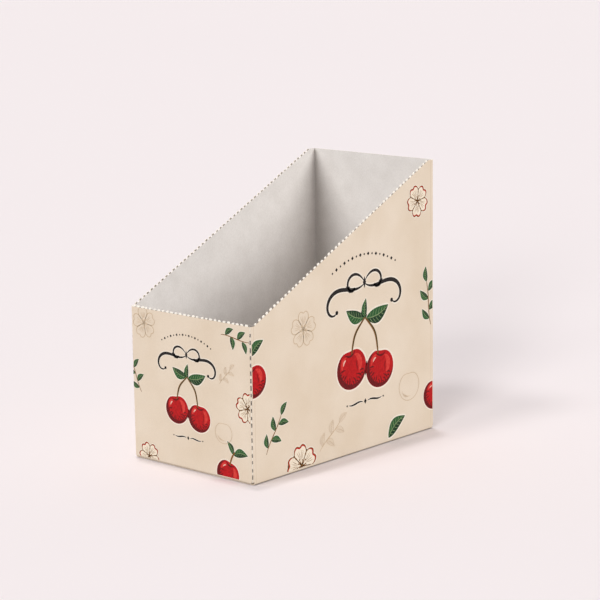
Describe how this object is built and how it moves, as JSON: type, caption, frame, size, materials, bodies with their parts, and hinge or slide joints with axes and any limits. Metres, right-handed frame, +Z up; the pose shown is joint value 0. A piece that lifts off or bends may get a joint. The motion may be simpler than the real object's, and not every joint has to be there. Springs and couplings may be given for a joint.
{
  "type": "perforated box",
  "caption": "Open tear-away carton of folded board: low front, tall back, sloped sides torn off along a perforation.",
  "frame": {"origin": "centre of the bottom, on the surface that the carton stands on", "axes": "+Z up, +Y towards the tall back panel, +X along the width, so the low front faces -Y"},
  "size_m": [0.135, 0.23, 0.235],
  "materials": {
    "board": "matte printed board"
  },
  "bodies": {
    "root": {"carton": "board"}
  },
  "joints": []
}
